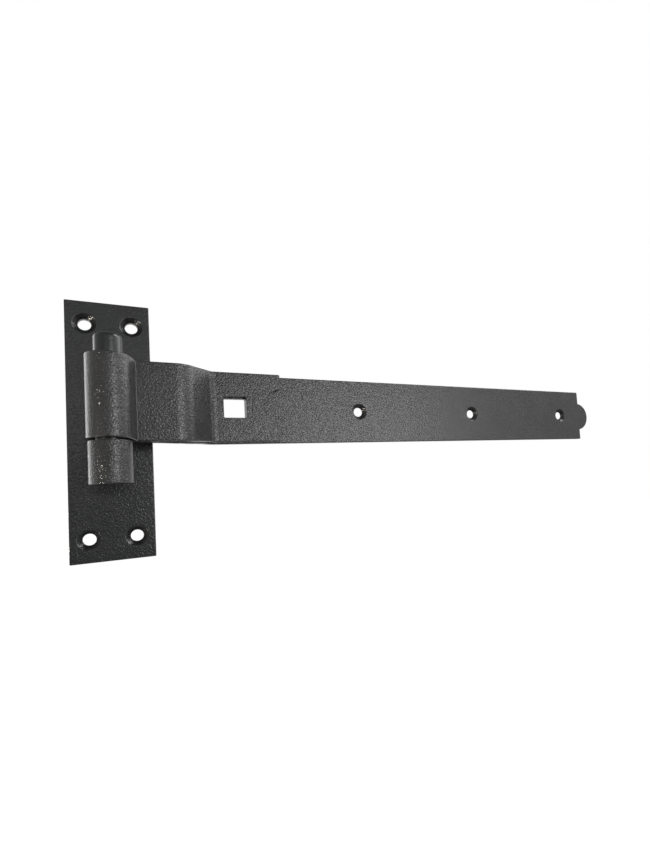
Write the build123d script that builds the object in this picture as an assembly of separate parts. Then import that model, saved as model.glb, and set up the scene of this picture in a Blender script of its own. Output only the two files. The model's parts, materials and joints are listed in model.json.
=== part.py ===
"""Hook and band gate hinge: a pin hook riveted to a screw plate, and a cranked band folded round the pin.

Millimetres. +X runs along the band away from the pin, +Y into the post, +Z up. The origin is the
middle of the hook plate's back face, and the band's back face lies in that same plane when closed.
"""
import os
from math import cos, hypot, radians, sin, tan

from build123d import *

# Hook plate
plate_width = 37.0
plate_height = 132.0
plate_thickness = 5.0
plate_corner_radius = 0.5
plate_edge_round = 0.3
plate_hole_side_margin = 8.25
plate_hole_end_margin = 11.5

# Countersunk screw holes, the same in the plate and in the band
screw_hole_diameter = 5.8
countersink_diameter = 10.4
countersink_angle = 90.0

# Hook: pin, boss and riveted shank, forged in one piece
pin_diameter = 12.0
pin_standoff = 28.5
pin_rise = 10.2
pin_top_round = 2.2
boss_diameter = 18.0
boss_height = 20.2
boss_edge_round = 0.4
shank_diameter = 14.0
tenon_diameter = 10.0
tenon_head_diameter = 14.0
tenon_clearance = 0.05

# Band: one flat strip, rolled round the pin and folded back on its own front face
strap_width = 40.0
strap_thickness = 3.2
strap_edge_round = 0.6
strap_centre_height = 12.0
band_length = 349.2
eye_clearance = 0.4
seat_gap = 0.1
fold_climb = 0.9
leaf_gap = 0.15
eye_closing_angle = 72.0
eye_crease_radius = 0.6
neck_length = 28.4
crank_angle = 54.0
crank_inside_radius = 5.0
crank_climb = 1.05
return_length = 86.0

# Cropped ends: the nib at the tip and its twin, the notch in the return leaf
nib_radius = 11.0
nib_depth = 9.9
nib_drop = 0.8
crop_corner_radius = 0.8

# Holes in the band, measured from the pin axis, the last one from the shoulders at the tip
bolt_square = 12.2
bolt_square_corner = 0.6
bolt_square_at = 60.2
first_screw_at = 137.3
last_screw_margin = 22.0
screw_count = 3

# Cutters reach this far past the faces that they open
overcut = 1.0

# Sizes that follow
pin_radius = pin_diameter / 2
boss_radius = boss_diameter / 2
bore_radius = pin_radius + eye_clearance
eye_radius = bore_radius + strap_thickness
eye_centreline = bore_radius + strap_thickness / 2
leaf_pitch = strap_thickness + leaf_gap
strap_bottom = strap_centre_height - strap_width / 2
eye_bottom = strap_bottom + fold_climb
eye_top = eye_bottom + strap_width
boss_top = eye_bottom - crank_climb - seat_gap
boss_bottom = boss_top - boss_height
pin_top = eye_top + pin_rise
shoulder_at = band_length - nib_depth
nib_setback = nib_radius - nib_depth
screw_pitch = (shoulder_at - last_screw_margin - first_screw_at) / (screw_count - 1)


def countersunk_cutter(thickness: float) -> Part:
    """Screw hole through a sheet whose front face is at z = 0 and whose back is at z = -thickness."""
    hole = screw_hole_diameter / 2
    rim = countersink_diameter / 2
    slope = tan(radians(countersink_angle / 2))
    cone_depth = (rim - hole) / slope
    outline = Polyline(
        (0, overcut),
        (rim + overcut * slope, overcut),
        (hole, -cone_depth),
        (hole, -thickness - overcut),
        (0, -thickness - overcut),
        close=True,
    )
    return revolve(Plane.XZ * make_face(outline), Axis.Z)


def facing_front(x: float, y: float, z: float) -> Plane:
    """Plane on a front face: its normal points at the viewer, its x axis along the band."""
    return Plane(origin=(x, y, z), x_dir=(1, 0, 0), z_dir=(0, -1, 0))


def make_plate() -> Part:
    """Screw plate: rounded corners, countersunk holes in the corners and the hole for the riveted tenon."""
    blank = RectangleRounded(plate_width, plate_height, plate_corner_radius)
    front = facing_front(0, -plate_thickness, 0)
    plate = extrude(front * blank, amount=-plate_thickness)
    rims = plate.faces().sort_by(Axis.Y)[0].edges() + plate.faces().sort_by(Axis.Y)[-1].edges()
    plate = fillet(rims, plate_edge_round)
    hole_x = plate_width / 2 - plate_hole_side_margin
    hole_z = plate_height / 2 - plate_hole_end_margin
    for x in (-hole_x, hole_x):
        for z in (-hole_z, hole_z):
            plate -= facing_front(x, -plate_thickness, z) * countersunk_cutter(plate_thickness)
    return plate - tenon(tenon_clearance, overcut)


def tenon(clearance: float = 0.0, past: float = 0.0) -> Part:
    """Tenon behind the shank with its flush riveted head, or with clearance the hole that takes it.

    The hole runs past both faces of the plate.
    """
    neck = tenon_diameter / 2 + clearance
    head = tenon_head_diameter / 2 + clearance
    front = -plate_thickness - past
    outline = Polyline(
        (0, front),
        (neck, front),
        (neck, neck - head),
        (head + past, past),
        (0, past),
        close=True,
    )
    level = Plane(origin=(0, 0, shank_height()), x_dir=(1, 0, 0), z_dir=(0, 0, 1))
    return revolve(level * make_face(outline), Axis((0, 0, shank_height()), (0, 1, 0)))


def shank_height() -> float:
    """Height of the shank's centre line: half way up the boss."""
    return (boss_top + boss_bottom) / 2


def make_hook() -> Part:
    """Pin and boss turned about the pin axis, and the shank that goes through the plate."""
    pin_axis = Plane(origin=(0, -pin_standoff, 0), x_dir=(1, 0, 0), z_dir=(0, -1, 0))
    outline = Polyline(
        (0, boss_bottom),
        (boss_radius, boss_bottom),
        (boss_radius, boss_top),
        (pin_radius, boss_top),
        (pin_radius, pin_top),
        (0, pin_top),
        close=True,
    )
    profile = make_face(outline)
    rim = [v for v in profile.vertices() if abs(v.X - boss_radius) < 0.01]
    profile = fillet(rim, boss_edge_round)
    tip = [v for v in profile.vertices() if v.X > 0.01 and abs(v.Y - pin_top) < 0.01]
    profile = fillet(tip, pin_top_round)
    hook = revolve(pin_axis * profile, Axis((0, -pin_standoff, 0), (0, 0, 1)))
    shank_start = Plane(origin=(0, -pin_standoff, shank_height()), x_dir=(1, 0, 0), z_dir=(0, 1, 0))
    shank = extrude(shank_start * Circle(shank_diameter / 2), amount=pin_standoff - plate_thickness)
    return hook + shank + tenon()


class Strip:
    """Flat strip followed along its own centre line, one straight run or bend at a time."""

    def __init__(self, x: float, y: float, heading: float, bottom: float):
        self.x = x
        self.y = y
        self.heading = heading
        self.bottom = bottom
        self.pieces = []

    def section(self) -> Sketch:
        """Cross-section with rolled edges, standing upright across the direction of travel."""
        across = Plane(
            origin=(self.x, self.y, self.bottom + strap_width / 2),
            x_dir=(0, 0, 1),
            z_dir=(cos(radians(self.heading)), sin(radians(self.heading)), 0),
        )
        return across * RectangleRounded(strap_width, strap_thickness, strap_edge_round)

    def run(self, length: float, climb: float = 0.0) -> None:
        """Go straight on for a length, and climb by so much on the way."""
        dx = length * cos(radians(self.heading))
        dy = length * sin(radians(self.heading))
        self.pieces.append(extrude(self.section(), amount=hypot(length, climb), dir=(dx, dy, climb)))
        self.x += dx
        self.y += dy
        self.bottom += climb

    def bend(self, angle: float, radius: float, climb: float = 0.0) -> None:
        """Turn by an angle, positive to the left, on a centre-line radius, and climb by so much on the way."""
        side = 1 if angle > 0 else -1
        normal = radians(self.heading + 90 * side)
        centre_x = self.x + radius * cos(normal)
        centre_y = self.y + radius * sin(normal)
        if climb:
            rise = 1 if climb > 0 else -1
            turning = Plane(
                origin=(centre_x, centre_y, self.bottom + strap_width / 2),
                x_dir=(-cos(normal), -sin(normal), 0),
                z_dir=(0, 0, rise),
            )
            spiral = Helix(360 * abs(climb / angle), abs(climb), radius, lefthand=side != rise)
            self.pieces.append(sweep(self.section(), path=turning * spiral, is_frenet=True))
        else:
            axis = Axis((centre_x, centre_y, 0), (0, 0, side))
            self.pieces.append(revolve(self.section(), axis, abs(angle)))
        self.bottom += climb
        self.heading += angle
        end = radians(self.heading + 90 * side)
        self.x = centre_x - radius * cos(end)
        self.y = centre_y - radius * sin(end)

    def crank(self, neck_radius: float, strap_radius: float, slope: float) -> None:
        """Step back from the neck to the strap: bend, slope that climbs a little, and counter-bend."""
        self.bend(crank_angle, neck_radius)
        self.run(slope, crank_climb)
        self.bend(-crank_angle, strap_radius)


def crank_slope() -> float:
    """Length of the sloping run, the same in both leaves because their bends share centres."""
    offset = pin_standoff - eye_radius
    radii = 2 * crank_inside_radius + 2 * strap_thickness + leaf_gap
    return (offset - radii * (1 - cos(radians(crank_angle)))) / sin(radians(crank_angle))


def leaf_blank(outline: Sketch, start: float, back: float, bottom: float) -> Part:
    """Flat stretch of strip from a front-view outline, with every edge rounded but those of its first end."""
    front = facing_front(0, back - strap_thickness, bottom + strap_width / 2)
    blank = extrude(front * outline, amount=-strap_thickness)
    faces = blank.faces().filter_by(Axis.Y)
    rims = [e for e in faces.edges() if abs(e.center().X - start) > 0.01]
    return fillet(rims, strap_edge_round)


def leaf_outline(start: float, end: float) -> Sketch:
    """Square-cut strip in front view, centred on its own height."""
    return Pos((start + end) / 2, 0) * Rectangle(end - start, strap_width)


def round_crop(outline: Sketch, end: float) -> Sketch:
    """Break the four corners that the cropping die leaves along one end."""
    corners = [v for v in outline.vertices() if abs(v.X - end) < 0.01]
    return fillet(corners, crop_corner_radius)


def make_band() -> Part:
    """Band: strap with its nib, crank, eye round the pin, and the return leaf with its notch."""
    inner = crank_inside_radius + strap_thickness / 2
    outer = inner + leaf_pitch
    slope = crank_slope()
    strap_start = neck_length + (inner + outer) * sin(radians(crank_angle)) + slope * cos(radians(crank_angle))

    rear = Strip(neck_length, eye_centreline - pin_standoff, 0.0, strap_bottom - crank_climb)
    rear.crank(inner, outer, slope)

    crease = eye_crease_radius + strap_thickness / 2
    closing = radians(eye_closing_angle)
    front_arc = closing * eye_centreline
    crease_arc = closing * crease
    back_reach = eye_centreline - leaf_pitch - crease
    lead = (back_reach + (eye_centreline + crease) * cos(closing)) / sin(closing)
    back_arc = radians(90) * eye_centreline
    rise_rate = (crank_climb + fold_climb) / (neck_length + back_arc)
    drop_rate = crank_climb / (front_arc + lead + crease_arc)
    roll = Strip(neck_length, eye_centreline - pin_standoff, 180.0, strap_bottom - crank_climb)
    roll.run(neck_length, rise_rate * neck_length)
    roll.bend(90, eye_centreline, rise_rate * back_arc)
    roll.bend(90, eye_centreline)
    roll.bend(eye_closing_angle, eye_centreline, -drop_rate * front_arc)
    roll.run(lead, -drop_rate * lead)
    roll.bend(-eye_closing_angle, crease, -drop_rate * crease_arc)
    roll.run(neck_length - roll.x)
    roll.crank(outer, inner, slope)

    nib = Pos(shoulder_at - nib_setback, -nib_drop) * Circle(nib_radius)
    strap = round_crop(leaf_outline(strap_start, shoulder_at) + nib, shoulder_at)
    notch = Pos(return_length + nib_setback, 0) * Circle(nib_radius)
    leaf = round_crop(leaf_outline(strap_start, return_length) - notch, return_length)

    band = Part() + rear.pieces + roll.pieces
    band += leaf_blank(strap, strap_start, 0.0, strap_bottom)
    band += leaf_blank(leaf, strap_start, -leaf_pitch, eye_bottom)

    for index in range(screw_count):
        place = facing_front(first_screw_at + index * screw_pitch, -strap_thickness, strap_centre_height)
        band -= place * countersunk_cutter(strap_thickness)
    square = RectangleRounded(bolt_square, bolt_square, bolt_square_corner)
    square_front = facing_front(bolt_square_at, -2 * leaf_pitch, strap_centre_height)
    band -= extrude(square_front * square, amount=-2 * leaf_pitch - overcut)
    return band


os.makedirs("parts", exist_ok=True)
nodes = {"hook_plate": make_plate(), "pin_hook": make_hook(), "band": make_band()}
for name, solid in nodes.items():
    export_step(solid, f"parts/{name}.step")
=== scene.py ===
"""Looks of a cranked hook and band gate hinge in fine textured black powder coat.

Metres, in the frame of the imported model: +X along the closed band away from the pin, +Y into the post,
+Z up. Main sizes and places are read from that frame, and each class adds the small ones of its piece.
"""

import json
import logging
import math
from collections.abc import Sequence
from dataclasses import dataclass, field
from enum import Enum
from itertools import pairwise

import bmesh
import bpy
from bmesh.types import BMesh, BMVert
from bpy.types import Material, Mesh, NodeSocket, NodeTree, Object
from mathutils import Matrix, Vector
from mathutils.geometry import delaunay_2d_cdt

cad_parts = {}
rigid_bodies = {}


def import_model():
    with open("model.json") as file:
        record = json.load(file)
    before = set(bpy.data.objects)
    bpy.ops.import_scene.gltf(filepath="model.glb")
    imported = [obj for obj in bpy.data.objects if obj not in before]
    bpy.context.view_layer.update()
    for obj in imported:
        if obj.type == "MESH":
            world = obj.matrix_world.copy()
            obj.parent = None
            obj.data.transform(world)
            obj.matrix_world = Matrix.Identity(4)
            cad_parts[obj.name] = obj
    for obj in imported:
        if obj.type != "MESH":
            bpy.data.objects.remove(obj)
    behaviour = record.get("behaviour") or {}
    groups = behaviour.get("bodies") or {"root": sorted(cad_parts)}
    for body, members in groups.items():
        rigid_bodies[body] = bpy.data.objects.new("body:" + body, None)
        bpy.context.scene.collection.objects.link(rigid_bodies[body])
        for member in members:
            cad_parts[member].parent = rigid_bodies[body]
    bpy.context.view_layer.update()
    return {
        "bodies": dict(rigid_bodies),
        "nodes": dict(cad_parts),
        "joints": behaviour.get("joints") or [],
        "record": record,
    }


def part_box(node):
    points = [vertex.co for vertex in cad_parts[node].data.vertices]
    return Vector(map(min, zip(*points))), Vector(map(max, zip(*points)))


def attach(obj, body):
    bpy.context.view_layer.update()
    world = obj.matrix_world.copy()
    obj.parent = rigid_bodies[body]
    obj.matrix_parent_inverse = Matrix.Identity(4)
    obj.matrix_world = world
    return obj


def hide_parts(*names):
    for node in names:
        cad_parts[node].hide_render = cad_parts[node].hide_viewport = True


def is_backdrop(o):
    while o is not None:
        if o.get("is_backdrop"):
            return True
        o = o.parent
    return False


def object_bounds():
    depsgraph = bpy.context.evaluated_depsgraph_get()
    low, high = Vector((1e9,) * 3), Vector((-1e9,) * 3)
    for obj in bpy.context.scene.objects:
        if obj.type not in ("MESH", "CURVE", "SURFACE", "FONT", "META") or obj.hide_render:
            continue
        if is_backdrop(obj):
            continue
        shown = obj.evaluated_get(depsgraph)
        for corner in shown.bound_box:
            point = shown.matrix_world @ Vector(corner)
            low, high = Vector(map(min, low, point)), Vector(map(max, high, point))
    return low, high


MM = 0.001
UP = Vector((0.0, 0.0, 1.0))
OUTLINE_STEP = math.radians(6.0)
SECTION_STEP = math.radians(22.5)
WITHIN_RINGS = 1
MERGE_DISTANCE = 1e-9
FLAT_FACE_WEIGHT = 80
PLACE_DIGITS = 6
# Vertex share of how deep a place lies in a recess: the coat's colour is darkened there as painted shade,
# and its roughness rises.
RECESS_SHADE = "recess"
RECESS_FADE = 0.5 * MM
LOG = logging.getLogger("hinge")


class Metal(Enum):
    """Side of a closed counter-clockwise line on which the metal lies."""

    INSIDE = 1.0
    OUTSIDE = -1.0


class Socket(Enum):
    """Kinds of socket on a shader node group."""

    NUMBER = "NodeSocketFloat"
    VECTOR = "NodeSocketVector"


# Lines in a plane


def arc(
    centre: Vector, radius: float, start: float, turn: float, step: float = OUTLINE_STEP
) -> list[Vector]:
    """Points along an arc, with both of its ends.

    Args:
        centre: Middle of the circle.
        radius: Radius of the circle.
        start: Direction of the first point from the centre, in radians.
        turn: Angle covered, positive counter-clockwise.
        step: Largest angle between two points.

    Returns:
        The points in order.
    """
    count = max(2, math.ceil(abs(turn) / step))
    angles = [start + turn * index / count for index in range(count + 1)]
    return [centre + radius * Vector((math.cos(angle), math.sin(angle))) for angle in angles]


def rounded(
    before: Vector, corner: Vector, after: Vector, radius: float, step: float = OUTLINE_STEP
) -> list[Vector]:
    """Arc that rounds off one corner of a line.

    Args:
        before: A point on the line ahead of the corner.
        corner: The corner itself.
        after: A point on the line past the corner.
        radius: Radius of the arc.
        step: Largest angle between two points.

    Returns:
        The arc's points, from the first straight stretch to the second.
    """
    back = (before - corner).normalized()
    onward = (after - corner).normalized()
    half = back.angle(onward) / 2
    middle = corner + (back + onward).normalized() * (radius / math.sin(half))
    first = corner + back * (radius / math.tan(half)) - middle
    last = corner + onward * (radius / math.tan(half)) - middle
    turn = math.atan2(first.x * last.y - first.y * last.x, first.dot(last))
    return arc(middle, radius, math.atan2(first.y, first.x), turn, step)


def corner_arcs(corners: Sequence[Vector], radius: float) -> list[list[Vector]]:
    """Arc that rounds off each corner of a closed line.

    Args:
        corners: The corners in order.
        radius: Radius of all the arcs.

    Returns:
        The points of each corner's arc.
    """
    before = [corners[-1], *corners[:-1]]
    after = [*corners[1:], corners[0]]
    return [rounded(*spots, radius) for spots in zip(before, corners, after)]


def circle(centre: Vector, radius: float) -> list[Vector]:
    """Closed counter-clockwise circle, its first point not repeated."""
    return arc(centre, radius, 0.0, math.tau)[:-1]


def rounded_rectangle(centre: Vector, width: float, height: float, radius: float) -> list[Vector]:
    """Closed counter-clockwise rectangle with rounded corners.

    Args:
        centre: Middle of the rectangle.
        width: Extent along the first axis.
        height: Extent along the second axis.
        radius: Radius of the corners.

    Returns:
        The points in order.
    """
    signs = ((1, -1), (1, 1), (-1, 1), (-1, -1))
    corners = [centre + Vector((x * width / 2, y * height / 2)) for x, y in signs]
    return [spot for turn in corner_arcs(corners, radius) for spot in turn]


def softened(corners: Sequence[tuple[float, float]], radii: Sequence[float]) -> list[Vector]:
    """Section line through some corners, with every inner corner rounded off by its own radius.

    Args:
        corners: All corners of the section, with its two ends.
        radii: One radius for each inner corner.

    Returns:
        The arcs' points, without the two ends.
    """
    spots = [Vector(corner) for corner in corners]
    line = []
    for before, corner, after, radius in zip(spots, spots[1:], spots[2:], radii):
        line += rounded(before, corner, after, radius, SECTION_STEP)
    return line


def turning_section(corners: Sequence[tuple[float, float]], radii: Sequence[float]) -> list[Vector]:
    """Softened section line with both of its ends, which lie on the axis that it is turned about."""
    return [Vector(corners[0]), *softened(corners, radii), Vector(corners[-1])]


# Meshes


def plain_object(name: str, data: bpy.types.ID) -> Object:
    """New object for a mesh, curve, lamp or camera, at the origin and in the scene.

    Args:
        name: The object's name.
        data: What the object shows.

    Returns:
        The new object.
    """
    made = bpy.data.objects.new(name, data)
    bpy.context.scene.collection.objects.link(made)
    return made


def finished_object(name: str, source: Object) -> Object:
    """Plain object with the mesh that another object's modifiers give, which replaces that object.

    Args:
        name: Name of the finished piece.
        source: Object whose modifiers are to be applied.

    Returns:
        The finished piece, with no modifier.
    """
    graph = bpy.context.evaluated_depsgraph_get()
    mesh = bpy.data.meshes.new_from_object(source.evaluated_get(graph), depsgraph=graph)
    bpy.data.objects.remove(source)
    mesh.name = name
    return plain_object(name, mesh)


def weigh_normals(piece: Object) -> None:
    """Shade flat faces flat and let only the narrow rounded edges between them turn.

    Args:
        piece: Object that takes the modifier.
    """
    piece.data.shade_smooth()
    modifier = piece.modifiers.new("flat faces", "WEIGHTED_NORMAL")
    modifier.mode = "FACE_AREA"
    modifier.weight = FLAT_FACE_WEIGHT
    modifier.keep_sharp = True


def mesh_from(name: str, shape: BMesh, place: Matrix) -> Mesh:
    """Mesh of a shape after it has been put in its place; the shape is used up.

    Args:
        name: The mesh's name.
        shape: Shape to be turned into a mesh.
        place: Move from the shape's own axes.

    Returns:
        The new mesh.
    """
    shape.transform(place)
    mesh = bpy.data.meshes.new(name)
    shape.to_mesh(mesh)
    shape.free()
    return mesh


@dataclass
class Rim:
    """Edge of a flat sheet, or of a hole in it.

    The line is closed and counter-clockwise. The section runs from the front face to the back one, as
    pairs of distance into the metal and depth below the front face. The line's last points, as many as are
    sheltered, lie in a recess even on an outer edge, and so take the recess's painted shade.
    """

    line: list[Vector]
    section: list[Vector]
    metal: Metal
    sheltered: int = 0

    def ring(self, reach: float, depth: float) -> list[Vector]:
        """The line, moved into the metal and down from the front face.

        Args:
            reach: Distance into the metal.
            depth: Distance below the front face.

        Returns:
            One point for each point of the line.
        """
        moved = []
        for index, spot in enumerate(self.line):
            onward = (self.line[(index + 1) % len(self.line)] - spot).normalized()
            back = (spot - self.line[index - 1]).normalized()
            normals = Vector((-onward.y, onward.x)), Vector((-back.y, back.x))
            mitre = (normals[0] + normals[1]).normalized()
            flat = spot + mitre * (self.metal.value * reach / mitre.dot(normals[0]))
            moved.append(Vector((flat.x, flat.y, -depth)))
        return moved

    def recess(self, index: int, depth: float) -> float:
        """How far a place lies in a recess, which sets its painted shade: 0 at both of the sheet's faces
        and on its open edge, 1 within.

        Args:
            index: Number of the point on the line.
            depth: Distance below the front face.

        Returns:
            The share from 0 to 1.
        """
        if self.metal is Metal.INSIDE and index < len(self.line) - self.sheltered:
            return 0.0
        nearest_face = min(depth - self.section[0].y, self.section[-1].y - depth)
        return min(1.0, nearest_face / RECESS_FADE)


def fill(shape: BMesh, rings: Sequence[list[BMVert]]) -> None:
    """Close the flat face between an outer ring and the convex rings of its holes with triangles.

    Args:
        shape: Shape that takes the triangles.
        rings: The outer ring, then the holes' rings.
    """
    verts = []
    owners = []
    borders = []
    for number, ring in enumerate(rings):
        first = len(verts)
        verts += ring
        owners += [number] * len(ring)
        borders += [(first + index, first + (index + 1) % len(ring)) for index in range(len(ring))]
    spots = [vert.co.xy for vert in verts]
    _, _, triangles, sources, *_ = delaunay_2d_cdt(spots, borders, [], WITHIN_RINGS, MERGE_DISTANCE)
    for triangle in triangles:
        corners = [sources[corner][0] for corner in triangle]
        on_rings = {owners[corner] for corner in corners}
        if len(on_rings) > 1 or 0 in on_rings:
            shape.faces.new([verts[corner] for corner in corners])


def sheet(rims: Sequence[Rim]) -> BMesh:
    """Closed flat sheet with its front face at z = 0 and the insides of its holes marked as recesses, which
    take painted shade.

    Args:
        rims: The sheet's outer edge and the edges of its holes.

    Returns:
        The sheet's shape, with all faces pointing out.
    """
    shape = bmesh.new()
    mark = shape.verts.layers.float.new(RECESS_SHADE)
    front_rings = []
    back_rings = []
    for rim in rims:
        rings = [[shape.verts.new(spot) for spot in rim.ring(*step)] for step in rim.section]
        for ring, step in zip(rings, rim.section):
            for index, vert in enumerate(ring):
                vert[mark] = rim.recess(index, step.y)
        for upper, lower in pairwise(rings):
            for index in range(len(upper)):
                shape.faces.new((upper[index - 1], upper[index], lower[index], lower[index - 1]))
        front_rings.append(rings[0])
        back_rings.append(rings[-1])
    fill(shape, front_rings)
    fill(shape, back_rings)
    bmesh.ops.recalc_face_normals(shape, faces=shape.faces)
    return shape


def turned(section: Sequence[Vector], steps: int) -> BMesh:
    """Closed solid of revolution about the Z axis.

    Args:
        section: Pairs of radius and height; the first and the last lie on the axis.
        steps: Number of faces round the axis.

    Returns:
        The solid's shape, with all faces pointing out.
    """
    shape = bmesh.new()
    poles = [shape.verts.new((0.0, 0.0, spot.y)) for spot in (section[0], section[-1])]
    angles = [math.tau * index / steps for index in range(steps)]
    rings = []
    for radius, height in section[1:-1]:
        ring = [(radius * math.cos(angle), radius * math.sin(angle), height) for angle in angles]
        rings.append([shape.verts.new(spot) for spot in ring])
    for lower, upper in pairwise(rings):
        for index in range(steps):
            shape.faces.new((lower[index - 1], lower[index], upper[index], upper[index - 1]))
    for pole, ring in zip(poles, (rings[0], rings[-1])):
        for index in range(steps):
            shape.faces.new((pole, ring[index - 1], ring[index]))
    bmesh.ops.recalc_face_normals(shape, faces=shape.faces)
    return shape


# Shader nodes


def add_node(tree: NodeTree, kind: str, **inputs: object) -> bpy.types.Node:
    """Add a node to a tree.

    Args:
        tree: Tree that takes the node.
        kind: The node's type.
        **inputs: Input sockets by name, with spaces as underscores. A socket is linked and a value is set.

    Returns:
        The new node.
    """
    node = tree.nodes.new(kind)
    for name, value in inputs.items():
        feed(tree, node.inputs[name.replace("_", " ")], value)
    return node


def feed(tree: NodeTree, socket: NodeSocket, value: object) -> None:
    """Link an input to another node's output, or set its plain value.

    Args:
        tree: Tree that holds the nodes.
        socket: The input.
        value: Another node's output, or a plain value.
    """
    if isinstance(value, NodeSocket):
        tree.links.new(value, socket)
    else:
        socket.default_value = value


def calculate(tree: NodeTree, operation: str, *values: object) -> NodeSocket:
    """Result of one arithmetic step on sockets or numbers.

    Args:
        tree: Tree that takes the node.
        operation: The step's name.
        *values: Sockets or numbers, in order.

    Returns:
        The socket with the result.
    """
    node = tree.nodes.new("ShaderNodeMath")
    node.operation = operation
    for socket, value in zip(node.inputs, values):
        feed(tree, socket, value)
    return node.outputs[0]


def calculate_vector(tree: NodeTree, operation: str, *values: object) -> NodeSocket:
    """Result of one step on vectors, given as sockets or plain vectors.

    Args:
        tree: Tree that takes the node.
        operation: The step's name.
        *values: Sockets or vectors, in order.

    Returns:
        The socket with the result, which is a number for a dot product.
    """
    node = tree.nodes.new("ShaderNodeVectorMath")
    node.operation = operation
    for socket, value in zip(node.inputs, values):
        feed(tree, socket, value)
    return node.outputs["Value" if operation == "DOT_PRODUCT" else "Vector"]


def scale_vector(tree: NodeTree, vector: NodeSocket, factor: NodeSocket) -> NodeSocket:
    """A vector multiplied by a number.

    Args:
        tree: Tree that takes the node.
        vector: Socket with the vector.
        factor: Socket with the number.

    Returns:
        The socket with the longer or shorter vector.
    """
    node = tree.nodes.new("ShaderNodeVectorMath")
    node.operation = "SCALE"
    feed(tree, node.inputs["Vector"], vector)
    feed(tree, node.inputs["Scale"], factor)
    return node.outputs["Vector"]


def blend_colours(tree: NodeTree, share: NodeSocket, first: object, second: object) -> NodeSocket:
    """Colour between two others.

    Args:
        tree: Tree that takes the node.
        share: Socket with the second colour's share.
        first: Socket, or a plain linear colour.
        second: Socket, or a plain linear colour.

    Returns:
        The socket with the blended colour.
    """
    node = tree.nodes.new("ShaderNodeMix")
    node.data_type = "RGBA"
    feed(tree, node.inputs["Factor"], share)
    colour_inputs = [socket for socket in node.inputs if socket.type == "RGBA"]
    for socket, colour in zip(colour_inputs, (first, second)):
        feed(tree, socket, (*colour, 1.0) if isinstance(colour, tuple) else colour)
    return next(socket for socket in node.outputs if socket.type == "RGBA")


@dataclass
class Effect:
    """Shader node group that several finishes share. It reads a position and puts out one value."""

    name: str
    output: str
    tree: NodeTree = field(init=False)

    def __post_init__(self) -> None:
        """Make the empty group with its sockets, then let the subclass fill it."""
        self.tree = bpy.data.node_groups.new(self.name, "ShaderNodeTree")
        sockets = (
            ("Position", "INPUT", Socket.VECTOR),
            ("Pitch", "INPUT", Socket.NUMBER),
            (self.output, "OUTPUT", Socket.NUMBER),
        )
        for label, side, kind in sockets:
            self.tree.interface.new_socket(label, in_out=side, socket_type=kind.value)
        entry = self.tree.nodes.new("NodeGroupInput")
        leave = self.tree.nodes.new("NodeGroupOutput")
        per_pitch = calculate(self.tree, "DIVIDE", 1.0, entry.outputs["Pitch"])
        counted = scale_vector(self.tree, entry.outputs["Position"], per_pitch)
        self.tree.links.new(self.pattern(counted), leave.inputs[self.output])

    def pattern(self, position: NodeSocket) -> NodeSocket:
        """The value that the group puts out, from a position counted in pitches."""
        raise NotImplementedError

    def place(self, tree: NodeTree, position: NodeSocket, pitch: float) -> NodeSocket:
        """Put the group into a material.

        Args:
            tree: The material's tree.
            position: Socket with object coordinates.
            pitch: Size of the pattern, in metres.

        Returns:
            The group's output socket.
        """
        node = tree.nodes.new("ShaderNodeGroup")
        node.node_tree = self.tree
        feed(tree, node.inputs["Position"], position)
        feed(tree, node.inputs["Pitch"], pitch)
        return node.outputs[self.output]


class CoatGrain(Effect):
    """Height of the fine leathery grain that the powder sets into."""

    furrow_detail: float = 1.5
    furrow_roughness: float = 0.5
    furrow_wander: float = 0.8
    pebble_scale: float = 0.8
    pebble_softness: float = 0.7
    pebble_share: float = 0.45

    def pattern(self, position: NodeSocket) -> NodeSocket:
        """Soft pebbles broken up by wandering furrows.

        Args:
            position: Socket with the position, counted in pitches.

        Returns:
            The socket with the height.
        """
        furrows = add_node(
            self.tree, "ShaderNodeTexNoise",
            Vector=position, Scale=1.0, Detail=self.furrow_detail,
            Roughness=self.furrow_roughness, Distortion=self.furrow_wander,
        )
        pebbles = self.tree.nodes.new("ShaderNodeTexVoronoi")
        pebbles.feature = "SMOOTH_F1"
        feed(self.tree, pebbles.inputs["Vector"], position)
        pebbles.inputs["Scale"].default_value = self.pebble_scale
        pebbles.inputs["Smoothness"].default_value = self.pebble_softness
        dips = calculate(self.tree, "MULTIPLY", pebbles.outputs["Distance"], self.pebble_share)
        return calculate(self.tree, "SUBTRACT", furrows.outputs["Fac"], dips)


class FilmMottle(Effect):
    """Slow change in the film's thickness and gloss, from 0 to 1."""

    cloud_detail: float = 3.0
    cloud_roughness: float = 0.55
    cloud_wander: float = 0.3
    thinnest: float = 0.3
    thickest: float = 0.7

    def pattern(self, position: NodeSocket) -> NodeSocket:
        """Cloudy noise, stretched to the whole range.

        Args:
            position: Socket with the position, counted in pitches.

        Returns:
            The socket with the film's mottle.
        """
        clouds = add_node(
            self.tree, "ShaderNodeTexNoise",
            Vector=position, Scale=1.0, Detail=self.cloud_detail,
            Roughness=self.cloud_roughness, Distortion=self.cloud_wander,
        )
        spread = add_node(
            self.tree, "ShaderNodeMapRange",
            Value=clouds.outputs["Fac"], From_Min=self.thinnest, From_Max=self.thickest,
        )
        return spread.outputs["Result"]


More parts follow.
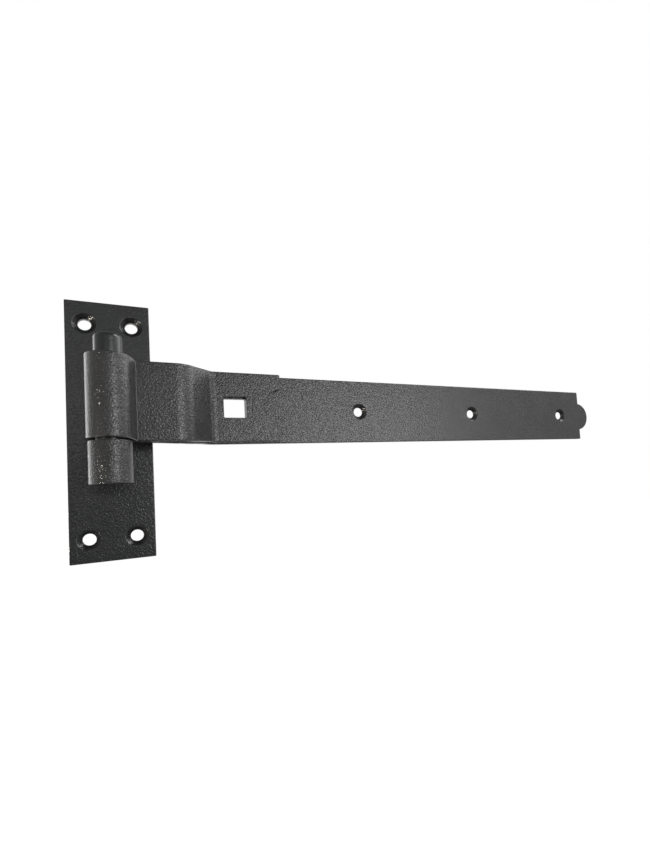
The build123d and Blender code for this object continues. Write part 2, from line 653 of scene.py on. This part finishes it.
@dataclass(frozen=True)
class PowderCoat:
    """Textured black powder coat on steel.

    Colours are linear. Roughness and colour drift between two values with the film's mottle. Little powder
    gets into the holes, so there the coat is less glossy; its colour there is darkened as painted shade.
    Between two places along X the grain may calm down to a share of its relief, and the coat gains
    roughness for the grain that is lost.
    """

    name: str
    thin_film: tuple[float, float, float]
    thick_film: tuple[float, float, float]
    gloss_roughness: float = 0.13
    matt_roughness: float = 0.19
    grain_pitch: float = 0.78 * MM
    grain_relief: float = 0.21 * MM
    mottle_pitch: float = 18.0 * MM
    # Painted shade: near-black colour that recesses and the notch's wall are darkened to.
    recess_painted_shade: tuple[float, float, float] = (0.006, 0.006, 0.0065)
    recess_roughness: float = 0.26
    calm_from: float = 0.13
    calm_to: float = 0.23
    calm_share: float = 1.0
    calm_roughness: float = 0.0

    def material(self, grain: CoatGrain, mottle: FilmMottle) -> Material:
        """Make the material.

        Args:
            grain: Shared group for the relief.
            mottle: Shared group for the slow change of colour and gloss.

        Returns:
            The finished material.
        """
        made = bpy.data.materials.new(self.name)
        made.use_nodes = True
        tree = made.node_tree
        shader = tree.nodes["Principled BSDF"]
        position = tree.nodes.new("ShaderNodeTexCoord").outputs["Object"]
        film = mottle.place(tree, position, self.mottle_pitch)
        inside = tree.nodes.new("ShaderNodeAttribute")
        inside.attribute_name = RECESS_SHADE
        recess = inside.outputs["Fac"]
        tint = blend_colours(tree, film, self.thin_film, self.thick_film)
        # Painted shade: in recesses and on the notch's wall the colour is pulled towards a near-black.
        feed(tree, shader.inputs["Base Color"], blend_colours(tree, recess, tint, self.recess_painted_shade))
        gloss = add_node(
            tree, "ShaderNodeMapRange",
            Value=film, To_Min=self.gloss_roughness, To_Max=self.matt_roughness,
        )
        calm = self.calm(tree, position)
        gained = calculate(tree, "MULTIPLY", calm, self.calm_roughness)
        roughness = add_node(
            tree, "ShaderNodeMapRange",
            Value=recess, To_Min=calculate(tree, "ADD", gloss.outputs["Result"], gained),
            To_Max=self.recess_roughness,
        )
        feed(tree, shader.inputs["Roughness"], roughness.outputs["Result"])
        share = add_node(tree, "ShaderNodeMapRange", Value=calm, To_Min=1.0, To_Max=self.calm_share)
        height = grain.place(tree, position, self.grain_pitch)
        relief = add_node(
            tree, "ShaderNodeBump",
            Strength=1.0, Distance=self.grain_relief,
            Height=calculate(tree, "MULTIPLY", height, share.outputs["Result"]),
        )
        feed(tree, shader.inputs["Normal"], relief.outputs["Normal"])
        return made

    def calm(self, tree: NodeTree, position: NodeSocket) -> NodeSocket:
        """0 where the grain has its whole relief, rising along X to 1 where it is calm.

        Args:
            tree: The material's tree.
            position: Socket with object coordinates.

        Returns:
            The socket with the value.
        """
        along = add_node(tree, "ShaderNodeSeparateXYZ", Vector=position)
        rise = add_node(
            tree, "ShaderNodeMapRange",
            Value=along.outputs["X"], From_Min=self.calm_from, From_Max=self.calm_to,
        )
        return rise.outputs["Result"]


# Places in the frame


def mount(frame: dict, name: str) -> dict:
    """The record's mount of that name."""
    return next(entry for entry in frame["record"]["mounts"] if entry["name"] == name)


def hinge_axis(frame: dict) -> Vector:
    """A point on the upright axis that the band swings about."""
    return Vector(frame["joints"][0]["pos_m"])


# Pieces


@dataclass
class Coats:
    """The finishes, made once."""

    plate: Material = field(init=False)
    boss: Material = field(init=False)
    pin: Material = field(init=False)
    band: Material = field(init=False)

    def __post_init__(self) -> None:
        """Make the shared groups and place them in each finish."""
        grain = CoatGrain("coat_grain", "Height")
        mottle = FilmMottle("film_mottle", "Mottle")
        finishes = {
            "plate": PowderCoat(
                "plate_powder_coat", (0.0132, 0.0140, 0.0152), (0.0160, 0.0168, 0.0180),
                gloss_roughness=0.12, matt_roughness=0.17, grain_relief=0.12 * MM,
            ),
            "boss": PowderCoat(
                "boss_powder_coat", (0.0175, 0.0175, 0.0180), (0.0220, 0.0220, 0.0225),
                gloss_roughness=0.10, matt_roughness=0.14, grain_relief=0.26 * MM,
            ),
            "pin": PowderCoat(
                "pin_powder_coat", (0.008, 0.0095, 0.010), (0.011, 0.0125, 0.013),
                gloss_roughness=0.22, matt_roughness=0.28, grain_relief=0.03 * MM,
            ),
            "band": PowderCoat(
                "band_powder_coat", (0.018, 0.0182, 0.0187), (0.023, 0.0232, 0.0237),
                calm_share=0.45, calm_roughness=0.17,
            ),
        }
        for piece, finish in finishes.items():
            setattr(self, piece, finish.material(grain, mottle))


@dataclass(frozen=True)
class ScrewHole:
    """Countersunk screw hole; the coat softens its edges."""

    radius: float
    sink_radius: float = 5.2 * MM
    rim_round: float = 0.35 * MM
    back_round: float = 0.3 * MM

    def rim(self, centre: Vector, thickness: float) -> Rim:
        """Edge of the hole in a sheet, with its countersink in the front face.

        Args:
            centre: Place of the hole in the sheet.
            thickness: The sheet's thickness.

        Returns:
            The hole's rim.
        """
        sink = self.sink_radius - self.radius
        beyond = sink + self.sink_radius
        corners = ((beyond, 0.0), (sink, 0.0), (0.0, sink), (0.0, thickness), (beyond, thickness))
        section = softened(corners, (self.rim_round, self.rim_round, self.back_round))
        return Rim(circle(centre, self.radius), section, Metal.OUTSIDE)


def outer_section(thickness: float, edge_round: float) -> list[Vector]:
    """Section of a sheet's own edge: both arrises rounded alike."""
    corners = ((thickness, 0.0), (0.0, 0.0), (0.0, thickness), (thickness, thickness))
    return softened(corners, (edge_round, edge_round))


@dataclass
class HookPlate:
    """Screw plate that carries the hook."""

    frame: dict
    coat: Material
    corner_radius: float = 0.5 * MM
    edge_round: float = 0.3 * MM
    rivet_play: float = 0.05 * MM
    rivet_round: float = 0.1 * MM

    def build(self) -> Object:
        """Make the plate with its four screw holes and the hole that the hook is riveted into.

        Returns:
            The finished plate.
        """
        low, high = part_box("hook_plate")
        thickness = high.y - low.y
        size = high - low
        outline = rounded_rectangle(Vector((0.0, 0.0)), size.x, size.z, self.corner_radius)
        rims = [Rim(outline, outer_section(thickness, self.edge_round), Metal.INSIDE)]
        rims += [self.screw_hole().rim(spot, thickness) for spot in self.screw_places()]
        rims.append(self.tenon_hole(thickness))
        place = Matrix.Translation((0.0, low.y, 0.0)) @ Matrix.Rotation(math.pi / 2, 4, "X")
        piece = plain_object("plate_blank", mesh_from("plate_blank", sheet(rims), place))
        piece.data.materials.append(self.coat)
        weigh_normals(piece)
        made = finished_object("coated_hook_plate", piece)
        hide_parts("hook_plate")
        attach(made, "hook")
        return made

    def pattern(self) -> dict:
        """Sizes of the plate's screw pattern, from the record."""
        return mount(self.frame, "plate_screws")["dims"]

    def screw_hole(self) -> ScrewHole:
        """One of the plate's screw holes."""
        return ScrewHole(self.pattern()["hole_r_mm"] * MM)

    def screw_places(self) -> list[Vector]:
        """Middles of the four holes in the plate's plane.

        Returns:
            The places across and up.
        """
        across = self.pattern()["spacing_x_mm"] * MM / 2
        upright = self.pattern()["spacing_y_mm"] * MM / 2
        return [Vector((x, z)) for x in (-across, across) for z in (-upright, upright)]

    def tenon_hole(self, thickness: float) -> Rim:
        """Hole for the riveted tenon, flared at the back for its head.

        Args:
            thickness: The plate's thickness.

        Returns:
            The hole's rim.
        """
        tenon = PinHook.tenon_radius + self.rivet_play
        head = PinHook.head_radius + self.rivet_play
        flare = head - tenon
        beyond = flare + head
        corners = (
            (beyond, 0.0),
            (0.0, 0.0),
            (0.0, thickness - flare),
            (flare, thickness),
            (beyond, thickness),
        )
        centre = Vector((0.0, PinHook.shank_height()))
        section = softened(corners, (self.rivet_round,) * (len(corners) - 2))
        return Rim(circle(centre, tenon), section, Metal.OUTSIDE)


@dataclass
class PinHook:
    """Hook: pin, boss and riveted shank in one piece."""

    frame: dict
    boss_coat: Material
    pin_coat: Material
    pin_radius: float = 6.0 * MM
    pin_top_round: float = 2.2 * MM
    boss_height: float = 20.2 * MM
    boss_edge_round: float = 0.4 * MM
    fork_round: float = 0.4 * MM
    shank_radius: float = 7.0 * MM
    tenon_radius: float = 5.0 * MM
    head_radius: float = 7.0 * MM
    small_round: float = 0.2 * MM
    sharp_from: float = math.radians(35.0)
    steps: int = 128

    def build(self) -> Object:
        """Make the hook and give the bare pin its thinner, smoother coat.

        Returns:
            The finished hook.
        """
        upright = plain_object("pin_and_boss", self.pin_and_boss())
        shank = plain_object("shank", self.shank())
        joined = upright.modifiers.new("forged on", "BOOLEAN")
        joined.operation = "UNION"
        joined.object = shank
        joined.solver = "EXACT"
        solid = finished_object("hook_blank", upright)
        bpy.data.objects.remove(shank)
        for coat in (self.boss_coat, self.pin_coat):
            solid.data.materials.append(coat)
        boss_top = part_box("pin_hook")[0].z + self.boss_height
        for face in solid.data.polygons:
            face.material_index = int(face.center.z > boss_top + self.fork_round)
        solid.data.set_sharp_from_angle(angle=self.sharp_from)
        weigh_normals(solid)
        made = finished_object("coated_pin_hook", solid)
        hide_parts("pin_hook")
        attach(made, "hook")
        return made

    @staticmethod
    def shank_height() -> float:
        """Height of the shank's centre line: half way up the boss."""
        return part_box("pin_hook")[0].z + PinHook.boss_height / 2

    def pin_and_boss(self) -> Mesh:
        """Pin and boss turned about the hinge axis.

        Returns:
            Their mesh, in its place.
        """
        low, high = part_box("pin_hook")
        boss_radius = (high.x - low.x) / 2
        boss_top = low.z + self.boss_height
        corners = (
            (0.0, low.z),
            (boss_radius, low.z),
            (boss_radius, boss_top),
            (self.pin_radius, boss_top),
            (self.pin_radius, high.z),
            (0.0, high.z),
        )
        radii = (self.boss_edge_round, self.boss_edge_round, self.fork_round, self.pin_top_round)
        section = turning_section(corners, radii)
        axis = hinge_axis(self.frame)
        place = Matrix.Translation((axis.x, axis.y, 0.0))
        return mesh_from("pin_and_boss", turned(section, self.steps), place)

    def shank(self) -> Mesh:
        """Shank from the hinge axis to the plate, with its tenon and flush riveted head.

        Returns:
            Its mesh, in its place.
        """
        axis = hinge_axis(self.frame)
        plate_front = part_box("hook_plate")[0].y
        flare = self.head_radius - self.tenon_radius
        corners = (
            (0.0, axis.y),
            (self.shank_radius, axis.y),
            (self.shank_radius, plate_front),
            (self.tenon_radius, plate_front),
            (self.tenon_radius, -flare),
            (self.head_radius, 0.0),
            (0.0, 0.0),
        )
        section = turning_section(corners, (self.small_round,) * (len(corners) - 2))
        place = Matrix.Translation((0.0, 0.0, self.shank_height())) @ Matrix.Rotation(-math.pi / 2, 4, "X")
        return mesh_from("shank", turned(section, self.steps), place)


@dataclass(frozen=True)
class CroppingDie:
    """Die that crops each strip from the next: straight shoulders with a round nib between them."""

    nib_radius: float = 11.0 * MM
    nib_depth: float = 9.9 * MM
    corner_radius: float = 0.8 * MM

    def cut(self, at: float, middle: float) -> list[Vector]:
        """Line of one cut, from below the nib to above it, with the nib towards +X.

        Args:
            at: Place of the shoulders along the strip.
            middle: Height of the nib's centre.

        Returns:
            The points in order, without the shoulders' outer ends.
        """
        setback = self.nib_radius - self.nib_depth
        centre = Vector((at - setback, middle))
        across = self.corner_radius + setback
        rise = math.sqrt((self.nib_radius + self.corner_radius) ** 2 - across**2)
        swing = math.atan2(rise, across)
        lower = Vector((at + self.corner_radius, middle - rise))
        upper = Vector((at + self.corner_radius, middle + rise))
        line = arc(lower, self.corner_radius, math.pi, -swing)
        line += arc(centre, self.nib_radius, -swing, 2 * swing)[1:-1]
        line += arc(upper, self.corner_radius, math.pi + swing, -swing)
        return line


@dataclass
class CentreLine:
    """Middle of the strip's thickness and height, followed one run or bend at a time.

    The stations are the lengths at which the blank is divided so that it can bend there.
    """

    at: Vector
    heading: float
    run_step: float = 12.0 * MM
    bend_step: float = math.radians(5.0)
    points: list[Vector] = field(init=False)
    stations: list[float] = field(init=False, default_factory=list)
    length: float = field(init=False, default=0.0)

    def __post_init__(self) -> None:
        """Start the line at its first point."""
        self.points = [self.at.copy()]

    def go_to(self, spot: Vector) -> None:
        """Add a point in a straight line from the last one.

        Args:
            spot: The new end of the line.
        """
        self.length += (spot - self.at).length
        self.at = spot
        self.points.append(spot.copy())
        self.stations.append(self.length)

    def run(self, length: float, climb: float = 0.0) -> None:
        """Go straight on for a length, and climb by so much on the way.

        Args:
            length: Level distance.
            climb: Rise over that distance.
        """
        start = self.at.copy()
        count = max(1, math.ceil(length / self.run_step))
        step = Vector((math.cos(self.heading), math.sin(self.heading), 0.0)) * length + UP * climb
        for index in range(1, count + 1):
            self.go_to(start + step * (index / count))

    def bend(self, angle: float, radius: float, climb: float = 0.0) -> None:
        """Turn by an angle, positive to the left, on a radius, and climb by so much on the way.

        Args:
            angle: Angle of the bend.
            radius: Radius of the bend.
            climb: Rise over the bend.
        """
        side = math.copysign(1.0, angle)
        normal = self.heading + side * math.pi / 2
        centre = self.at.xy + radius * Vector((math.cos(normal), math.sin(normal)))
        spots = arc(centre, radius, normal + math.pi, angle, self.bend_step)[1:]
        for spot in spots:
            self.go_to(Vector((spot.x, spot.y, self.at.z + climb / len(spots))))
        self.heading += angle

    def curve(self) -> Object:
        """Curve object through all points.

        Returns:
            The new object.
        """
        data = bpy.data.curves.new("band_centre_line", "CURVE")
        data.dimensions = "3D"
        spline = data.splines.new("POLY")
        spline.points.add(len(self.points) - 1)
        for target, spot in zip(spline.points, self.points):
            target.co = (*spot, 1.0)
        return plain_object("band_centre_line", data)


@dataclass
class FoldTree:
    """Geometry node tree that folds a flat blank along a centre line."""

    coat: Material
    tree: NodeTree = field(init=False)
    keys: dict[str, str] = field(init=False, default_factory=dict)

    def __post_init__(self) -> None:
        """Build the tree: length picks a place on the line, height and depth are laid off from it."""
        self.tree = bpy.data.node_groups.new("fold_along_line", "GeometryNodeTree")
        sockets = self.tree.interface
        sockets.new_socket("Geometry", in_out="INPUT", socket_type="NodeSocketGeometry")
        for label, kind in (("Centre Line", "NodeSocketObject"), ("Half Thickness", "NodeSocketFloat")):
            self.keys[label] = sockets.new_socket(label, in_out="INPUT", socket_type=kind).identifier
        sockets.new_socket("Geometry", in_out="OUTPUT", socket_type="NodeSocketGeometry")
        entry = self.tree.nodes.new("NodeGroupInput")
        leave = self.tree.nodes.new("NodeGroupOutput")
        line = add_node(self.tree, "GeometryNodeObjectInfo", Object=entry.outputs["Centre Line"])
        flat = self.tree.nodes.new("GeometryNodeInputPosition")
        blank = add_node(self.tree, "ShaderNodeSeparateXYZ", Vector=flat.outputs["Position"])
        sample = self.tree.nodes.new("GeometryNodeSampleCurve")
        sample.mode = "LENGTH"
        feed(self.tree, sample.inputs["Curves"], line.outputs["Geometry"])
        feed(self.tree, sample.inputs["Length"], blank.outputs["X"])
        outward = calculate_vector(self.tree, "CROSS_PRODUCT", sample.outputs["Tangent"], UP)
        outward = calculate_vector(self.tree, "NORMALIZE", outward)
        depth = calculate(self.tree, "ADD", blank.outputs["Z"], entry.outputs["Half Thickness"])
        height = add_node(self.tree, "ShaderNodeCombineXYZ", Z=blank.outputs["Y"])
        spot = calculate_vector(self.tree, "ADD", sample.outputs["Position"], height.outputs[0])
        spot = calculate_vector(self.tree, "ADD", spot, scale_vector(self.tree, outward, depth))
        folded = add_node(
            self.tree, "GeometryNodeSetPosition",
            Geometry=entry.outputs["Geometry"], Position=spot,
        )
        real = add_node(self.tree, "GeometryNodeRealizeInstances", Geometry=folded.outputs[0])
        coated = add_node(
            self.tree, "GeometryNodeSetMaterial",
            Geometry=real.outputs[0], Material=self.coat,
        )
        self.tree.links.new(coated.outputs[0], leave.inputs[0])

    def add_to(self, blank: Object, line: Object, thickness: float) -> None:
        """Put the tree on a blank as a modifier, with its sizes.

        Args:
            blank: The flat strip.
            line: Curve that the strip follows.
            thickness: The strip's thickness.
        """
        modifier = blank.modifiers.new("fold", "NODES")
        modifier.node_group = self.tree
        modifier[self.keys["Centre Line"]] = line
        modifier[self.keys["Half Thickness"]] = thickness / 2


@dataclass
class Band:
    """Band: a cropped and punched strip, cranked, rolled round the pin and folded back on itself."""

    frame: dict
    coat: Material
    die: CroppingDie = CroppingDie()
    width: float = 40.0 * MM
    thickness: float = 3.2 * MM
    edge_round: float = 0.6 * MM
    leaf_gap: float = 0.15 * MM
    closing_angle: float = math.radians(72.0)
    crease_radius: float = 0.6 * MM
    neck_length: float = 28.4 * MM
    crank_angle: float = math.radians(54.0)
    crank_radius: float = 5.0 * MM
    crank_climb: float = 1.05 * MM
    return_length: float = 86.0 * MM
    nib_drop: float = 0.8 * MM
    bolt_square: float = 12.2 * MM
    bolt_corner: float = 0.6 * MM
    bolt_edge_round: float = 0.3 * MM

    def build(self) -> Object:
        """Make the flat blank, fold it and dress it.

        Returns:
            The finished band.
        """
        line = self.centre_line()
        piece = plain_object("band_blank", self.blank(line))
        curve = line.curve()
        FoldTree(self.coat).add_to(piece, curve, self.thickness)
        weigh_normals(piece)
        made = finished_object("coated_band", piece)
        bpy.data.objects.remove(curve)
        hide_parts("band")
        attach(made, "band")
        return made

    def reach(self) -> float:
        """Distance from the pin axis to the band's tip."""
        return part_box("band")[1].x

    def eye_radius(self) -> float:
        """Outer radius of the eye, which is how far it stands out past the pin axis."""
        return -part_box("band")[0].x

    def centre_line(self) -> CentreLine:
        """The folded strip's line, from the notch end of the return leaf to the tip.

        Returns:
            The whole line.
        """
        low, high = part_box("band")
        axis = hinge_axis(self.frame)
        pitch = self.thickness + self.leaf_gap
        half = self.thickness / 2
        roll = self.eye_radius() - half
        inner = self.crank_radius + half
        outer = inner + pitch
        crease = self.crease_radius + half
        fold_climb = high.z - low.z - self.width - self.crank_climb
        offset = -axis.y - self.eye_radius()
        sine = math.sin(self.crank_angle)
        cosine = math.cos(self.crank_angle)
        slope = (offset - (inner + outer) * (1 - cosine)) / sine
        flat_start = self.neck_length + (inner + outer) * sine + slope * cosine
        back_reach = roll - pitch - crease
        lead = (back_reach + (roll + crease) * math.cos(self.closing_angle)) / math.sin(self.closing_angle)
        crease_x = (roll + crease) * math.sin(self.closing_angle) + lead * math.cos(self.closing_angle)
        quarter = math.pi / 2
        rise_rate = (self.crank_climb + fold_climb) / (self.neck_length + quarter * roll)
        drop_rate = self.crank_climb / (self.closing_angle * (roll + crease) + lead)

        line = CentreLine(Vector((self.return_length, -pitch - half, high.z - self.width / 2)), math.pi)
        line.run(self.return_length - flat_start)
        self.crank(line, (inner, outer), slope, -self.crank_climb)
        line.run(self.neck_length - crease_x)
        line.bend(self.closing_angle, crease, drop_rate * self.closing_angle * crease)
        line.run(lead, drop_rate * lead)
        line.bend(-self.closing_angle, roll, drop_rate * self.closing_angle * roll)
        line.bend(-quarter, roll)
        line.bend(-quarter, roll, -rise_rate * quarter * roll)
        line.run(self.neck_length, -rise_rate * self.neck_length)
        self.crank(line, (inner, outer), slope, self.crank_climb)
        line.run(self.reach() - flat_start)
        return line

    def crank(self, line: CentreLine, radii: tuple[float, float], slope: float, climb: float) -> None:
        """Step over between neck and strap: bend, slope that climbs a little, and counter-bend.

        Args:
            line: The line that goes on.
            radii: Radii of the first bend and of the second.
            slope: Level length between the bends.
            climb: Rise over the slope.
        """
        line.bend(self.crank_angle, radii[0])
        line.run(slope, climb)
        line.bend(-self.crank_angle, radii[1])

    def blank(self, line: CentreLine) -> Mesh:
        """Flat strip, cropped and punched, and divided wherever it will bend.

        Args:
            line: The line that the strip will follow.

        Returns:
            The blank's mesh: length along X, height along Y, front face up.
        """
        rims = [self.edge(line.length - self.die.nib_depth)]
        tip = line.length - self.reach()
        pattern = mount(self.frame, "band_screws_first_two")
        hole = ScrewHole(pattern["dims"]["hole_r_mm"] * MM)
        for spot in self.screw_places():
            rims.append(hole.rim(Vector((tip + spot, 0.0)), self.thickness))
        bolt = Vector(mount(self.frame, "band_bolt")["pos_m"])
        for place in (self.return_length - bolt.x, tip + bolt.x):
            middle = Vector((place, 0.0))
            square = rounded_rectangle(middle, self.bolt_square, self.bolt_square, self.bolt_corner)
            rims.append(Rim(square, outer_section(self.thickness, self.bolt_edge_round), Metal.OUTSIDE))
        shape = sheet(rims)
        for station in line.stations[:-1]:
            geometry = shape.verts[:] + shape.edges[:] + shape.faces[:]
            bmesh.ops.bisect_plane(shape, geom=geometry, plane_co=(station, 0, 0), plane_no=(1, 0, 0))
        return mesh_from("band_blank", shape, Matrix.Identity(4))

    def screw_places(self) -> list[float]:
        """Distances of the screw holes from the pin axis, from the record's two overlapping pairs.

        Returns:
            The distances in rising order.
        """
        places = set()
        for name in ("band_screws_first_two", "band_screws_last_two"):
            pattern = mount(self.frame, name)
            half = pattern["dims"]["spacing_x_mm"] * MM / 2
            places |= {round(pattern["pos_m"][0] + side * half, PLACE_DIGITS) for side in (-1, 1)}
        return sorted(places)

    def edge(self, shoulder: float) -> Rim:
        """Outer edge of the blank, cropped by the same die at both ends.

        Args:
            shoulder: Place of the shoulders beside the nib, along the strip.

        Returns:
            The edge, with its notch marked as sheltered, so that the notch's wall takes painted shade.
        """
        half = self.width / 2
        corners = [Vector(spot) for spot in ((0, -half), (shoulder, -half), (shoulder, half), (0, half))]
        turns = corner_arcs(corners, self.die.corner_radius)
        nib = self.die.cut(shoulder, -self.nib_drop)
        notch = self.die.cut(0.0, 0.0)[::-1]
        outline = turns[0] + turns[1] + nib + turns[2] + turns[3] + notch
        return Rim(outline, outer_section(self.thickness, self.edge_round), Metal.INSIDE, len(notch))


# Studio


@dataclass(frozen=True)
class StudioLamp:
    """Rectangular lamp, placed by direction and distance and aimed at one spot.

    Azimuth is to the right of the viewer's side of the object, in degrees.
    """

    name: str
    azimuth: float
    elevation: float
    distance: float
    width: float
    height: float
    radiance: float
    colour: tuple[float, float, float] = (1.0, 1.0, 1.0)

    def build(self, target: Vector) -> None:
        """Add the lamp.

        Args:
            target: Spot that the lamp is aimed at.
        """
        data = bpy.data.lights.new(self.name, "AREA")
        data.shape = "RECTANGLE"
        data.size = self.width
        data.size_y = self.height
        data.energy = self.radiance * math.pi * self.width * self.height
        data.color = self.colour
        lamp = plain_object(self.name, data)
        azimuth = math.radians(self.azimuth)
        elevation = math.radians(self.elevation)
        away = Vector((math.sin(azimuth), -math.cos(azimuth), 0.0)) * math.cos(elevation)
        away += UP * math.sin(elevation)
        lamp.location = target + away * self.distance
        lamp.rotation_euler = away.to_track_quat("Z", "Y").to_euler()


@dataclass(frozen=True)
class PhotoCamera:
    """Camera that took the photograph, as a pinhole in pixels of its frame."""

    sensor_width: float = 36.0
    clip_start: float = 0.01
    frame_width: float = 650.0
    frame_height: float = 868.0
    focal: float = 515.7
    centre_x: float = 438.5
    centre_y: float = 452.2
    location: tuple[float, float, float] = (4.53 * MM, -314.03 * MM, -39.92 * MM)
    yaw: float = math.radians(31.601)
    pitch: float = math.radians(3.744)
    roll: float = math.radians(-3.960)

    def build(self) -> None:
        """Add the camera and make it the scene's own."""
        data = bpy.data.cameras.new("photo_camera")
        data.sensor_width = self.sensor_width
        data.lens = self.focal * self.sensor_width / self.frame_height
        data.shift_x = (self.frame_width / 2 - self.centre_x) / self.frame_height
        data.shift_y = (self.centre_y - self.frame_height / 2) / self.frame_height
        data.clip_start = self.clip_start
        level = math.cos(self.pitch)
        forward = Vector((math.sin(self.yaw) * level, math.cos(self.yaw) * level, math.sin(self.pitch)))
        side = forward.cross(UP).normalized()
        above = side.cross(forward)
        right = side * math.cos(self.roll) + above * math.sin(self.roll)
        made = plain_object("photo_camera", data)
        turn = Matrix((right, right.cross(forward), -forward)).transposed().to_4x4()
        made.matrix_world = Matrix.Translation(self.location) @ turn
        bpy.context.scene.camera = made


@dataclass
class Studio:
    """White studio: floor, surround, lamps and the camera."""

    floor_drop: float = 0.35
    floor_front: float = -0.05
    floor_size: float = 12.0
    floor_colour: tuple[float, float, float] = (0.88, 0.88, 0.88)
    floor_share: float = 0.92
    floor_glow: float = 1.08
    surround: float = 0.8
    dark_side: float = 0.09
    dark_from: tuple[float, float, float] = (-0.270, -0.740, -0.616)
    dark_core: float = math.radians(22.0)
    dark_edge: float = math.radians(95.0)
    ceiling: float = 0.4
    ceiling_from: float = math.sin(math.radians(18.0))
    ceiling_to: float = math.sin(math.radians(58.0))
    aim: tuple[float, float, float] = (0.08, -0.02, 0.0)
    lamps: tuple[StudioLamp, ...] = (
        StudioLamp(
            "key_softbox", azimuth=24.0, elevation=2.0, distance=1.0,
            width=0.44, height=0.46, radiance=5.9,
        ),
        StudioLamp(
            "upper_right", azimuth=72.0, elevation=40.0, distance=0.6,
            width=0.25, height=0.25, radiance=9.0,
        ),
        StudioLamp(
            "front_fill", azimuth=-13.0, elevation=9.5, distance=1.0,
            width=0.60, height=0.17, radiance=1.2,
        ),
        StudioLamp(
            "right_front", azimuth=50.0, elevation=8.0, distance=1.0,
            width=0.40, height=0.42, radiance=0.4,
        ),
        StudioLamp(
            "right_side", azimuth=98.0, elevation=23.0, distance=0.9,
            width=0.50, height=0.36, radiance=2.6,
        ),
        StudioLamp(
            "left_rim", azimuth=-134.0, elevation=5.0, distance=0.9,
            width=0.60, height=0.80, radiance=1.7,
        ),
        StudioLamp(
            "left_kicker", azimuth=-54.0, elevation=-9.0, distance=0.9,
            width=0.03, height=0.04, radiance=560.0, colour=(1.0, 0.93, 0.78),
        ),
        StudioLamp(
            "low_kicker", azimuth=-69.0, elevation=-29.0, distance=0.9,
            width=0.03, height=0.04, radiance=700.0, colour=(1.0, 0.93, 0.82),
        ),
    )

    def build(self) -> None:
        """Set up floor, surround, lamps, camera and view."""
        self.floor()
        self.world()
        for lamp in self.lamps:
            lamp.build(Vector(self.aim))
        PhotoCamera().build()
        bpy.context.scene.view_settings.view_transform = "Standard"

    @staticmethod
    def seen(tree: NodeTree) -> NodeSocket:
        """1 for rays from the camera, reflections and glass, 0 for other light.

        Args:
            tree: Tree that takes the nodes.

        Returns:
            The socket with the value.
        """
        path = tree.nodes.new("ShaderNodeLightPath")
        total = calculate(tree, "MAXIMUM", path.outputs["Is Camera Ray"], path.outputs["Is Glossy Ray"])
        return calculate(tree, "MAXIMUM", total, path.outputs["Is Transmission Ray"])

    def floor(self) -> None:
        """Pale floor under and behind the object, white to the camera but for a trace of shadow."""
        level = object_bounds()[0].z - self.floor_drop
        half = self.floor_size / 2
        back = self.floor_front + self.floor_size
        corners = ((-half, self.floor_front), (half, self.floor_front), (half, back), (-half, back))
        mesh = bpy.data.meshes.new("floor")
        mesh.from_pydata([(x, y, level) for x, y in corners], [], [(0, 1, 2, 3)])
        material = bpy.data.materials.new("pale_floor")
        material.use_nodes = True
        tree = material.node_tree
        tree.nodes.remove(tree.nodes["Principled BSDF"])
        matt = add_node(tree, "ShaderNodeBsdfDiffuse", Color=(*self.floor_colour, 1.0))
        glow = add_node(tree, "ShaderNodeEmission", Strength=self.floor_glow)
        blend = tree.nodes.new("ShaderNodeMixShader")
        feed(tree, blend.inputs[0], calculate(tree, "MULTIPLY", self.seen(tree), self.floor_share))
        feed(tree, blend.inputs[1], matt.outputs[0])
        feed(tree, blend.inputs[2], glow.outputs[0])
        feed(tree, tree.nodes["Material Output"].inputs["Surface"], blend.outputs[0])
        mesh.materials.append(material)
        plain_object("floor", mesh)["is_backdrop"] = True

    def world(self) -> None:
        """White surround that falls off to a dark room behind and below the camera and to a dim ceiling."""
        world = bpy.data.worlds.new("studio_surround")
        bpy.context.scene.world = world
        world.use_nodes = True
        tree = world.node_tree
        direction = tree.nodes.new("ShaderNodeTexCoord").outputs["Generated"]
        darkest = Vector(self.dark_from).normalized()
        angle = calculate(tree, "ARCCOSINE", calculate_vector(tree, "DOT_PRODUCT", direction, darkest))
        shade = add_node(
            tree, "ShaderNodeMapRange",
            Value=angle, From_Min=self.dark_core, From_Max=self.dark_edge,
            To_Min=self.dark_side, To_Max=self.surround,
        )
        height = add_node(tree, "ShaderNodeSeparateXYZ", Vector=direction)
        overhead = add_node(
            tree, "ShaderNodeMapRange",
            Value=height.outputs["Z"], From_Min=self.ceiling_from, From_Max=self.ceiling_to,
            To_Min=1.0, To_Max=self.ceiling,
        )
        light = calculate(tree, "MULTIPLY", shade.outputs["Result"], overhead.outputs["Result"])
        path = tree.nodes.new("ShaderNodeLightPath")
        level = calculate(tree, "MAXIMUM", light, path.outputs["Is Camera Ray"])
        feed(tree, tree.nodes["Background"].inputs["Strength"], level)
        tree.nodes["Background"].inputs["Color"].default_value = (1.0, 1.0, 1.0, 1.0)


def main() -> None:
    """Load the frame, build and dress each piece, then set up the studio."""
    logging.basicConfig(level=logging.INFO, format="%(name)s: %(message)s")
    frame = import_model()
    coats = Coats()
    makers = (
        HookPlate(frame, coats.plate),
        PinHook(frame, coats.boss, coats.pin),
        Band(frame, coats.band),
    )
    for maker in makers:
        piece = maker.build()
        LOG.info("%s: %d faces", piece.name, len(piece.data.polygons))
    Studio().build()


if __name__ == "__main__":
    main()
